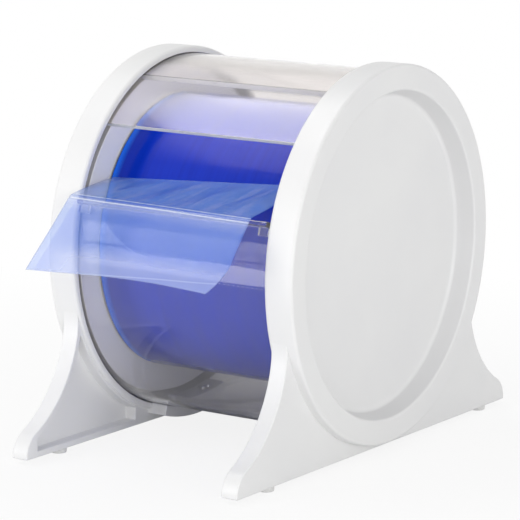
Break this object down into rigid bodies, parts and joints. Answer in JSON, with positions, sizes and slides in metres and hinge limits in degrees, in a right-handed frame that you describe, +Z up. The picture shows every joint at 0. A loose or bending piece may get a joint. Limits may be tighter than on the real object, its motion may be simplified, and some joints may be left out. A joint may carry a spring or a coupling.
{
  "type": "barrier film dispenser",
  "caption": "Counter dispenser with a roll of film in a clear drum between two white side frames, a front window with a lip, and a sliding clear visor.",
  "frame": {"origin": "on the table, in the middle of the base, straight under the drum axis", "axes": "+Z up, +X to the right along the drum axis, -Y towards the front, where the film comes out"},
  "size_m": [0.1266, 0.232, 0.1733],
  "materials": {
    "white_plastic": "moulded, softly glossy",
    "clear_shell": "clear, faintly smoky",
    "clear_lip": "clear, polished edge",
    "clear_visor": "clear, faintly smoky",
    "wound_film": "wound tacky film, glossy",
    "core_card": "spiral wound card",
    "hub_plastic": "moulded, satin",
    "axle_metal": "drawn rod",
    "washer_plastic": "satin",
    "screw_steel": "plated",
    "free_film": "thin translucent film",
    "pad_rubber": "pale, matt"
  },
  "bodies": {
    "stand": {"left_side_frame": "white_plastic", "right_side_frame": "white_plastic", "drum_shell": "clear_shell", "lip_strip": "clear_lip", "axle_rod": "axle_metal", "left_washer": "washer_plastic", "right_washer": "washer_plastic", "shell_screws": "screw_steel", "film_sheet": "free_film", "pad_front_left": "pad_rubber", "pad_front_right": "pad_rubber", "pad_rear_left": "pad_rubber", "pad_rear_right": "pad_rubber"},
    "roll": {"film_roll": "wound_film", "roll_core": "core_card", "left_core_hub": "hub_plastic", "right_core_hub": "hub_plastic"},
    "visor": {"visor": "clear_visor"}
  },
  "joints": [
    {"name": "roll_spin", "type": "hinge", "parent": "stand", "child": "roll", "pos_m": [0, 0, 0.0888], "axis": [1, 0, 0], "continuous": true},
    {"name": "visor_slide", "type": "hinge", "parent": "stand", "child": "visor", "pos_m": [0, 0, 0.0888], "axis": [-1, 0, 0], "range_deg": [-16.6, 24.9]}
  ]
}
